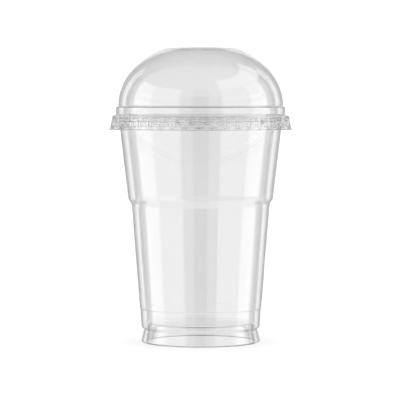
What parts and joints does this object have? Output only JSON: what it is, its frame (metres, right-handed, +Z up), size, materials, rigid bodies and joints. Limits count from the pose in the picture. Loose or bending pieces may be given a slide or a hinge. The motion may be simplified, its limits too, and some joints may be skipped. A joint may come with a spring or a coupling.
{
  "type": "plastic cup with lid",
  "caption": "Clear disposable tumbler with a stepped, tapered wall and flared foot, closed by a press-on dome lid with a flat top and a fluted skirt.",
  "frame": {"origin": "middle of the foot ring, in the plane it stands on", "axes": "+Z up along the axis of revolution of cup and lid; +X and +Y are across the cup and have no special meaning"},
  "size_m": [0.1006, 0.1006, 0.1605],
  "materials": {
    "clear_cup": "clear, smooth gloss",
    "clear_lid": "clear, smooth gloss"
  },
  "bodies": {
    "cup": {"cup": "clear_cup"},
    "lid": {"dome_lid": "clear_lid"}
  },
  "joints": [
    {"name": "lid_lift", "type": "slide", "parent": "cup", "child": "lid", "axis": [0, 0, 1], "range_m": [0, 0.025]}
  ]
}
